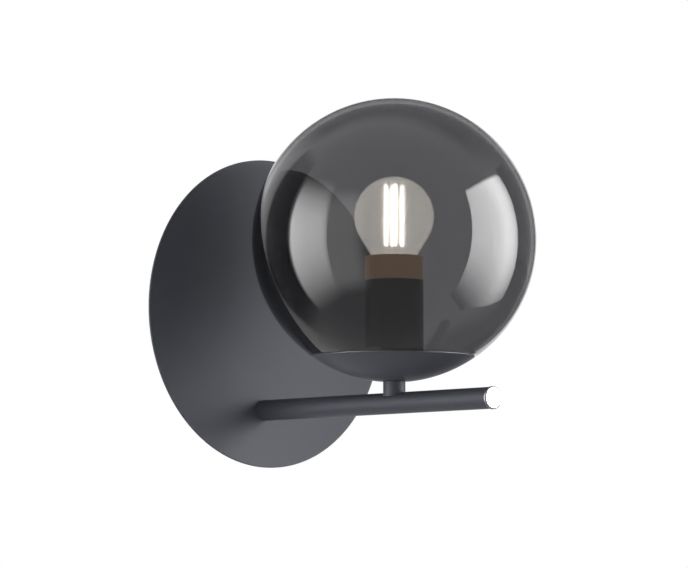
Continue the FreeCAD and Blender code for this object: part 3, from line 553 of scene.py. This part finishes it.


# ---- Lampholder ----
# Moulded base and body on the nipple, a glossy black sleeve over them, and a brown phenolic collar on top,
# which is given a faint painted glow for the bulb's light on it. Inside are the brass shell, the bronze contact
# and the two brass terminals.
moulding_black = (0.018, 0.018, 0.019, 1)
moulding_black_pale = (0.030, 0.030, 0.031, 1)
phenolic = (0.22, 0.13, 0.065, 1)
phenolic_pale = (0.30, 0.19, 0.10, 1)
painted_lamplight = (1.0, 0.64, 0.36, 1)
painted_lamplight_strength = 0.17
sleeve_black = (0.006, 0.005, 0.006, 1)
sleeve_black_pale = (0.012, 0.011, 0.012, 1)
brass = (0.60, 0.42, 0.17, 1)
brass_dull = (0.42, 0.29, 0.12, 1)
moulding_finish = finish(
    "black_moulding", soft_grain, {"Colour": moulding_black, "Second Colour": moulding_black_pale}, 0.1
)
# The collar's emission is painted light: a faint warm glow on the brown moulding that stands for the bulb's
# light falling on it.
phenolic_painted_glow_finish = finish(
    "brown_moulding",
    soft_grain,
    {"Colour": phenolic, "Second Colour": phenolic_pale, "Smooth Roughness": 0.25, "Rough Roughness": 0.4},
    0.08,
    Emission_Color=painted_lamplight,
    Emission_Strength=painted_lamplight_strength,
)
sleeve_look = {"Colour": sleeve_black, "Second Colour": sleeve_black_pale}
sleeve_look.update({"Smooth Roughness": 0.3, "Rough Roughness": 0.42})
sleeve_finish = finish("black_sleeve", soft_grain, sleeve_look, 0.05)
brass_finish = finish("brass", metal_grain, {"Colour": brass, "Dull Colour": brass_dull}, 0.1, 1.0)
for node in ("holder_base", "holder_body"):
    dress(nodes[node], moulding_finish)
for node in ("screw_shell", "centre_contact", "holder_terminals", "terminal_barrels"):
    dress(nodes[node], brass_finish)

sleeve_low, sleeve_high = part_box("holder_sleeve")
sleeve_radius = (sleeve_high.x - sleeve_low.x) / 2
sleeve_wall = 0.8 * mm
sleeve_softening = 0.15 * mm
sleeve_bore = sleeve_radius - sleeve_wall
sleeve_outline = [
    (sleeve_radius, sleeve_low.z),
    (sleeve_radius, sleeve_high.z),
    (sleeve_bore, sleeve_high.z),
    (sleeve_bore, sleeve_low.z),
]
sleeve = turned("holder_tube", softened(sleeve_outline, sleeve_softening), (0, stem_y, 0), "Z", 128, 40)
place_piece(sleeve, sleeve_finish, "fixture", "black_sleeve", "holder_sleeve")

collar_low, collar_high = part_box("holder_collar")
collar_bore = 13.3 * mm
collar_grip = 14.25 * mm
collar_edge = 0.6 * mm
collar_play = 0.1 * mm
collar_softening = 0.3 * mm
collar_shoulder = collar_high.z - 12.2 * mm
collar_skirt = sleeve_bore - collar_play
collar_outline = [
    (collar_grip, collar_low.z),
    (collar_skirt, collar_low.z),
    (collar_skirt, sleeve_high.z),
    (sleeve_radius, sleeve_high.z),
    (sleeve_radius, collar_high.z - collar_edge),
    (sleeve_radius - collar_edge, collar_high.z),
    (collar_bore + collar_edge, collar_high.z),
    (collar_bore, collar_high.z - collar_edge),
    (collar_bore, collar_shoulder),
    (collar_grip, collar_shoulder),
]
collar = turned("holder_ring", softened(collar_outline, collar_softening), (0, stem_y, 0), "Z", 128, 40)
place_piece(collar, phenolic_painted_glow_finish, "fixture", "brown_moulding", "holder_collar")


# ---- Bulb ----
# Golf-ball bulb with a 14 mm screw cap: blown clear glass, a nickel-plated cap with a rolled thread, black
# glass and solder at its foot, and four upright light-emitting rods on a nickel frame.
bulb_low, bulb_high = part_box("bulb_glass")
bulb_radius = (bulb_high.x - bulb_low.x) / 2
bulb_middle = bulb_high.z - bulb_radius
bulb_wall = 0.8 * mm
neck_radius = 7.6 * mm
neck_slope = math.radians(31.5)
neck_steps = 12
bulb_steps = 40
painted_bulb_glow = (1.0, 0.95, 0.86, 1)
painted_bulb_glow_strength = 0.22


def glass(name, colour, ripple_scale, ripple, **constants):
    """Clear glass with the faint waves of blowing."""
    material = bpy.data.materials.new(name)
    material.use_nodes = True
    tree = material.node_tree
    shader = tree.nodes["Principled BSDF"]
    shader.inputs["Base Color"].default_value = colour
    shader.inputs["Roughness"].default_value = 0.0
    shader.inputs["IOR"].default_value = 1.5
    shader.inputs["Transmission Weight"].default_value = 1.0
    for socket, value in constants.items():
        shader.inputs[socket.replace("_", " ")].default_value = value
    place = tree.nodes.new("ShaderNodeTexCoord")
    wave = tree.nodes.new("ShaderNodeTexNoise")
    wave.inputs["Scale"].default_value = ripple_scale
    wave.inputs["Detail"].default_value = 1.0
    relief = tree.nodes.new("ShaderNodeBump")
    relief.inputs["Strength"].default_value = ripple
    relief.inputs["Distance"].default_value = 1.0 * mm
    tree.links.new(place.outputs["Object"], wave.inputs["Vector"])
    tree.links.new(wave.outputs["Fac"], relief.inputs["Height"])
    tree.links.new(relief.outputs["Normal"], shader.inputs["Normal"])
    return material


def bulb_side(wall):
    """Points up the envelope at a depth under its outer face, from the neck's foot to the crown."""
    radius = bulb_radius - wall
    tangent = (radius * math.cos(neck_slope), -radius * math.sin(neck_slope))
    foot = neck_radius - wall
    foot_h = tangent[1] - (tangent[0] - foot) / math.tan(neck_slope)
    cone = []
    for n in range(neck_steps):
        side = foot + (tangent[0] - foot) * n / neck_steps
        height = foot_h + (tangent[1] - foot_h) * n / neck_steps
        cone.append((side, height))
    return cone + arc_points(0, radius, -neck_slope, math.pi / 2, bulb_steps)


# The envelope's emission is painted light: a faint even glow on the clear glass that stands for the glare round
# the lit rods.
bulb_clear_painted_glow = glass(
    "bulb_glass",
    (0.97, 0.96, 0.93, 1),
    60.0,
    0.02,
    Roughness=0.22,
    Emission_Color=painted_bulb_glow,
    Emission_Strength=painted_bulb_glow_strength,
)
envelope_outline = bulb_side(0) + list(reversed(bulb_side(bulb_wall)))
envelope = turned("bulb_envelope", envelope_outline, (0, stem_y, bulb_middle), "Z", 160, 60)
place_piece(envelope, bulb_clear_painted_glow, "bulb", "clear_glass", "bulb_glass")

mount_finish = glass("pressed_glass", (0.93, 0.93, 0.90, 1), 300.0, 0.15, Roughness=0.08)
dress(nodes["bulb_mount"], mount_finish)

nickel = (0.62, 0.60, 0.56, 1)
nickel_dull = (0.50, 0.48, 0.44, 1)
nickel_finish = finish(
    "nickel", metal_grain, {"Colour": nickel, "Dull Colour": nickel_dull, "Smooth Roughness": 0.15}, 0.05, 1.0
)
cap_foot, cap_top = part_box("bulb_cap")
cap_radius = 6.95 * mm
thread_pitch = 2.822 * mm
thread_depth = 0.45 * mm
thread_steps = 60
thread_run_out = 6
thread_segments = 72
cap_wall = 0.25 * mm
cap_neck_rise = 1.2 * mm
cap_mouth_rise = 2.6 * mm
thread_low = cap_foot.z
thread_high = cap_top.z - 4 * mm


def threaded_cap(name):
    """The cap as a thin wall whose thread is rolled into it as one helix, with a plain flared mouth."""
    mesh = bmesh.new()
    walls = []
    for wall in (0, cap_wall):
        rings = []
        for k in range(thread_steps + 1):
            height = thread_low + (thread_high - thread_low) * k / thread_steps
            fade = min(1, k / thread_run_out, (thread_steps - k) / thread_run_out)
            ring = []
            for n in range(thread_segments):
                angle = 2 * math.pi * n / thread_segments
                wave = 0.5 + 0.5 * math.cos(2 * math.pi * (height - thread_low) / thread_pitch - angle)
                radius = cap_radius - wall - thread_depth * fade * wave
                side, other = radius * math.cos(angle), radius * math.sin(angle)
                ring.append(mesh.verts.new((side, stem_y + other, height)))
            rings.append(ring)
        for radius, height in (
            (cap_radius - wall, thread_high + cap_neck_rise),
            (neck_radius - wall, thread_high + cap_mouth_rise),
            (neck_radius - wall, cap_top.z),
        ):
            ring = []
            for n in range(thread_segments):
                angle = 2 * math.pi * n / thread_segments
                side, other = radius * math.cos(angle), radius * math.sin(angle)
                ring.append(mesh.verts.new((side, stem_y + other, height)))
            rings.append(ring)
        walls.append(rings)
    loop = walls[0] + list(reversed(walls[1]))
    for k, ring in enumerate(loop):
        join_rings(mesh, loop[k - 1], ring, thread_segments)
    bmesh.ops.recalc_face_normals(mesh, faces=mesh.faces)
    data = bpy.data.meshes.new(name)
    mesh.to_mesh(data)
    mesh.free()
    data.shade_smooth()
    data.set_sharp_from_angle(angle=math.radians(50))
    piece = bpy.data.objects.new(name, data)
    bpy.context.scene.collection.objects.link(piece)
    return piece


screw_cap = threaded_cap("bulb_thread")
place_piece(screw_cap, nickel_finish, "bulb", "nickel", "bulb_cap")
dress(nodes["filament_frame"], nickel_finish)

foot_glass = (0.02, 0.02, 0.03, 1)
foot_glass_pale = (0.04, 0.04, 0.055, 1)
solder = (0.55, 0.55, 0.55, 1)
solder_dull = (0.38, 0.38, 0.39, 1)
board_green = (0.03, 0.12, 0.05, 1)
board_pale = (0.05, 0.18, 0.08, 1)
foot_finish = finish(
    "foot_glass",
    soft_grain,
    {"Colour": foot_glass, "Second Colour": foot_glass_pale, "Smooth Roughness": 0.08, "Rough Roughness": 0.2},
    0.05,
)
solder_finish = finish("solder", metal_grain, {"Colour": solder, "Dull Colour": solder_dull}, 0.2, 1.0)
board_finish = finish("circuit_board", soft_grain, {"Colour": board_green, "Second Colour": board_pale}, 0.1)
dress(nodes["bulb_insulator"], foot_finish)
dress(nodes["bulb_contact"], solder_finish)
dress(nodes["earth_lug"], solder_finish)
dress(nodes["bulb_driver"], board_finish)

phosphor = (1.0, 0.86, 0.55, 1)
phosphor_pale = (1.0, 0.93, 0.72, 1)
filament_light = (1.0, 0.93, 0.80, 1)
filament_strength = 18.0
filament_finish = finish(
    "lit_phosphor",
    soft_grain,
    {"Colour": phosphor, "Second Colour": phosphor_pale},
    0.2,
    Emission_Color=filament_light,
    Emission_Strength=filament_strength,
)
rod_low, rod_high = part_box("filaments")
rod_radius = 0.65 * mm
rod_ring = 4.55 * mm
rod_turn = math.radians(57)
rod_count = 4
rod_half = (rod_high.z - rod_low.z) / 2
rod_taper = 0.4 * mm
rod_tip = 0.6 * rod_radius
rod_outline = [(0, -rod_half), (rod_tip, -rod_half), (rod_radius, -rod_half + rod_taper)]
rod_outline += [(rod_radius, rod_half - rod_taper), (rod_tip, rod_half), (0, rod_half)]
for k in range(rod_count):
    angle = rod_turn + 2 * math.pi * k / rod_count
    spot = (rod_ring * math.cos(angle), stem_y + rod_ring * math.sin(angle), (rod_high.z + rod_low.z) / 2)
    rod = turned("light_rod_" + str(k + 1), rod_outline, spot, "Z", 24, 60)
    place_piece(rod, filament_finish, "bulb", "filament", "filaments")


# ---- Globe ----
# Blown smoked glass, 160 mm across with a 3 mm wall, ground flat round its mouth. It lifts straight up off
# the gasket when the bulb is changed.
globe_wall = 3 * mm
globe_steps = 110
globe_softening = 0.3 * mm
smoke = (0.265, 0.263, 0.273, 1)
mouth = globe_low.z - globe_z
globe_finish = glass("smoked_glass", smoke, 14.0, 0.015, IOR=1.3)
outer_start = math.asin(mouth / globe_radius)
inner_start = math.asin(mouth / (globe_radius - globe_wall))
globe_outline = arc_points(0, globe_radius, outer_start, math.pi / 2, globe_steps)
globe_outline += arc_points(0, globe_radius - globe_wall, math.pi / 2, inner_start, globe_steps)
globe = turned("globe", softened(globe_outline, globe_softening), (0, stem_y, globe_z), "Z", 224, 50)
place_piece(globe, globe_finish, "globe", "smoked_glass", "globe_glass")


# ---- Terminal block and wires ----
# White nylon block with brass barrels on the bracket's lug, and three silicone-covered wires. Brown and blue
# run through the arm to the lampholder, and the striped earth wire goes to the stud on the dish.
nylon = (0.72, 0.71, 0.67, 1)
nylon_pale = (0.80, 0.79, 0.75, 1)
brown_cover = (0.17, 0.075, 0.035, 1)
brown_cover_pale = (0.22, 0.10, 0.05, 1)
blue_cover = (0.035, 0.10, 0.40, 1)
blue_cover_pale = (0.05, 0.14, 0.48, 1)
earth_green = (0.05, 0.30, 0.06, 1)
earth_yellow = (0.75, 0.60, 0.05, 1)
gloss = {"Smooth Roughness": 0.25, "Rough Roughness": 0.4}
nylon_finish = finish("white_nylon", soft_grain, {"Colour": nylon, "Second Colour": nylon_pale}, 0.1)
brown_look = {"Colour": brown_cover, "Second Colour": brown_cover_pale, **gloss}
blue_look = {"Colour": blue_cover, "Second Colour": blue_cover_pale, **gloss}
brown_finish = finish("brown_cover", soft_grain, brown_look, 0.1)
blue_finish = finish("blue_cover", soft_grain, blue_look, 0.1)


def striped_cover(name):
    """Green cover with yellow stripes that wind along the wire."""
    material = finish(name, soft_grain, {"Colour": earth_green, "Second Colour": earth_green, **gloss}, 0.1)
    tree = material.node_tree
    place = tree.nodes.new("ShaderNodeTexCoord")
    stripes = tree.nodes.new("ShaderNodeTexWave")
    stripes.bands_direction = "DIAGONAL"
    stripes.inputs["Scale"].default_value = 90.0
    edge = tree.nodes.new("ShaderNodeValToRGB")
    edge.color_ramp.interpolation = "CONSTANT"
    edge.color_ramp.elements[0].color = earth_green
    edge.color_ramp.elements[1].position = 0.5
    edge.color_ramp.elements[1].color = earth_yellow
    tree.links.new(place.outputs["Object"], stripes.inputs["Vector"])
    tree.links.new(stripes.outputs["Fac"], edge.inputs["Fac"])
    tree.links.new(edge.outputs["Color"], tree.nodes["Principled BSDF"].inputs["Base Color"])
    return material


for node in ("terminal_block", "nipple_bushing"):
    dress(nodes[node], nylon_finish)
dress(nodes["live_wire"], brown_finish)
dress(nodes["neutral_wire"], blue_finish)
dress(nodes["earth_wire"], striped_cover("earth_cover"))


# ---- Floor ----
# A plain pale painted floor well under the lamp, which hangs in the air here as it does in the photograph.
# Gloss sees the white background in its place.
floor_z = -1.0
floor_half = 40.0
floor_colour = (0.90, 0.90, 0.90, 1)
floor_data = bpy.data.meshes.new("floor")
floor_corners = [(-floor_half, -floor_half, floor_z), (floor_half, -floor_half, floor_z)]
floor_corners += [(floor_half, floor_half, floor_z), (-floor_half, floor_half, floor_z)]
floor_data.from_pydata(floor_corners, [], [(0, 1, 2, 3)])
floor = bpy.data.objects.new("floor", floor_data)
bpy.context.scene.collection.objects.link(floor)
floor_look = {"Colour": floor_colour, "Second Colour": floor_colour, "Grain Scale": 400.0}
floor_finish = finish("floor_paint", soft_grain, floor_look, 0.02)
dress(floor, floor_finish)
floor.visible_glossy = False


# ---- Studio light ----
# Tall soft boxes at both sides of the lamp and black flags behind it, in a pale room with a white background.
# What gloss sees of them and what lights the pieces are set apart, so that colours keep their own level.
view_azimuth = math.radians(-42.41)
to_camera = Vector((math.sin(view_azimuth), -math.cos(view_azimuth), 0))
to_right = Vector((math.cos(view_azimuth), math.sin(view_azimuth), 0))
lamp_middle = Vector((0, stem_y, globe_z))
box_distance = 1.2


def box_stand(piece, turn, rise):
    """Stands a box or flag to face the globe, turned in degrees to the right of the camera and raised."""
    heading = to_camera * math.cos(math.radians(turn)) + to_right * math.sin(math.radians(turn))
    direction = heading * math.cos(math.radians(rise)) + Vector((0, 0, math.sin(math.radians(rise))))
    piece.location = lamp_middle + direction * box_distance
    piece.rotation_euler = direction.to_track_quat("Z", "Y").to_euler()
    bpy.context.scene.collection.objects.link(piece)


def lit_box(name, turn, rise, width, height, radiance):
    """The part of a soft box that lights the pieces."""
    light = bpy.data.lights.new(name, "AREA")
    light.shape = "RECTANGLE"
    light.size = width
    light.size_y = height
    light.energy = radiance * math.pi * width * height
    panel = bpy.data.objects.new(name, light)
    box_stand(panel, turn, rise)
    panel.visible_camera = False
    panel.visible_transmission = False
    panel.visible_glossy = False


def edge_fade(tree, along, far_end, depth):
    """1 inside the box and 0 at one end of it, with a smooth run of that depth (in half widths) between."""
    fade = tree.nodes.new("ShaderNodeMapRange")
    fade.interpolation_type = "SMOOTHSTEP"
    fade.inputs["From Min"].default_value = far_end
    fade.inputs["From Max"].default_value = far_end * (1 - depth)
    tree.links.new(along, fade.inputs["Value"])
    return fade.outputs["Result"]


def seen_cloth(name, turn, rise, width, height, radiance, around, fades):
    """A soft box's front or a black flag as gloss shows it, fading at its four ends to the level around it."""
    half_width, half_height = width / 2, height / 2
    corners = [(-half_width, -half_height, 0), (half_width, -half_height, 0)]
    corners += [(half_width, half_height, 0), (-half_width, half_height, 0)]
    data = bpy.data.meshes.new(name)
    data.from_pydata(corners, [], [(0, 1, 2, 3)])
    panel = bpy.data.objects.new(name, data)
    box_stand(panel, turn, rise)
    cloth = bpy.data.materials.new(name)
    cloth.use_nodes = True
    tree = cloth.node_tree
    tree.nodes.clear()
    spot = tree.nodes.new("ShaderNodeTexCoord")
    shares = tree.nodes.new("ShaderNodeVectorMath")
    shares.operation = "DIVIDE"
    shares.inputs[1].default_value = (half_width, half_height, 1)
    split = tree.nodes.new("ShaderNodeSeparateXYZ")
    tree.links.new(spot.outputs["Object"], shares.inputs[0])
    tree.links.new(shares.outputs["Vector"], split.inputs["Vector"])
    across, upward = split.outputs["X"], split.outputs["Y"]
    left_fade, right_fade, low_fade, high_fade = fades
    level = edge_fade(tree, across, -1, left_fade)
    for along, far_end, depth in ((across, 1, right_fade), (upward, -1, low_fade), (upward, 1, high_fade)):
        product = tree.nodes.new("ShaderNodeMath")
        product.operation = "MULTIPLY"
        tree.links.new(level, product.inputs[0])
        tree.links.new(edge_fade(tree, along, far_end, depth), product.inputs[1])
        level = product.outputs["Value"]
    shown = tree.nodes.new("ShaderNodeMapRange")
    shown.inputs["To Min"].default_value = around
    shown.inputs["To Max"].default_value = radiance
    tree.links.new(level, shown.inputs["Value"])
    glow = tree.nodes.new("ShaderNodeEmission")
    result = tree.nodes.new("ShaderNodeOutputMaterial")
    tree.links.new(shown.outputs["Result"], glow.inputs["Strength"])
    tree.links.new(glow.outputs["Emission"], result.inputs["Surface"])
    data.materials.append(cloth)
    panel.visible_camera = False
    panel.visible_diffuse = False
    panel.visible_transmission = False
    panel.visible_shadow = False


background_level = 1.0
room_level = 0.62
black = 0.0
right_box_level = 20.5
left_box_level = 18.5
fill_level = 5.0
seen_cloth("right_box", 93, -6, 1.46, 2.1, right_box_level, black, (0.05, 0.9, 1.15, 0.1))
seen_cloth("left_box", -71, -4, 0.95, 2.3, left_box_level, background_level, (0.2, 0.5, 1.15, 0.8))
seen_cloth("left_fill", -38, -5, 0.85, 2.1, fill_level, background_level, (0.1, 0.9, 0.5, 0.5))
seen_cloth("left_flag", -110, 0, 0.75, 2.8, black, background_level, (0.4, 0.1, 0.5, 0.3))
seen_cloth("right_flag", 137, 0, 1.0, 2.0, black, background_level, (0.1, 0.1, 0.1, 0.1))
seen_cloth("top_flag", 165, 50, 2.8, 1.6, black, background_level, (0.7, 0.5, 0.3, 0.7))
seen_cloth("low_flag", 140, -48, 1.7, 1.4, black, background_level, (0.7, 0.3, 0.7, 0.2))
lit_box("right_light", 96, -1, 1.74, 1.39, 0.4)
lit_box("left_light", -62, -15, 1.0, 1.4, 1.35)
lit_box("low_front_light", 5, -25, 1.2, 0.9, 0.5)

world = bpy.data.worlds.new("studio")
bpy.context.scene.world = world
world.use_nodes = True
sky = world.node_tree
background = sky.nodes["Background"]
path = sky.nodes.new("ShaderNodeLightPath")
seen = path.outputs["Is Camera Ray"]
for ray in ("Is Glossy Ray", "Is Transmission Ray"):
    either = sky.nodes.new("ShaderNodeMath")
    either.operation = "MAXIMUM"
    sky.links.new(seen, either.inputs[0])
    sky.links.new(path.outputs[ray], either.inputs[1])
    seen = either.outputs["Value"]
white_mix = sky.nodes.new("ShaderNodeMix")
white_mix.inputs["A"].default_value = room_level
white_mix.inputs["B"].default_value = background_level
sky.links.new(seen, white_mix.inputs["Factor"])
sky.links.new(white_mix.outputs["Result"], background.inputs["Strength"])
background.inputs["Color"].default_value = (1, 1, 1, 1)


# ---- Camera ----
# Two metres away, a little below the lamp and to its left, as in the photograph. The long lens keeps the
# globe and the dish in their own proportions.
view_elevation = math.radians(-5.03)
view_target = Vector((0.05897, -0.025, 0.0209))
view_distance = 2.0
view_lens = 175.3
camera_data = bpy.data.cameras.new("camera")
camera_data.lens = view_lens
camera_data.sensor_width = 36.0
camera = bpy.data.objects.new("camera", camera_data)
back = to_camera * math.cos(view_elevation) + Vector((0, 0, math.sin(view_elevation)))
camera.location = view_target + back * view_distance
camera.rotation_euler = back.to_track_quat("Z", "Y").to_euler()
bpy.context.scene.collection.objects.link(camera)
bpy.context.scene.camera = camera
bpy.context.scene.view_settings.view_transform = "Standard"
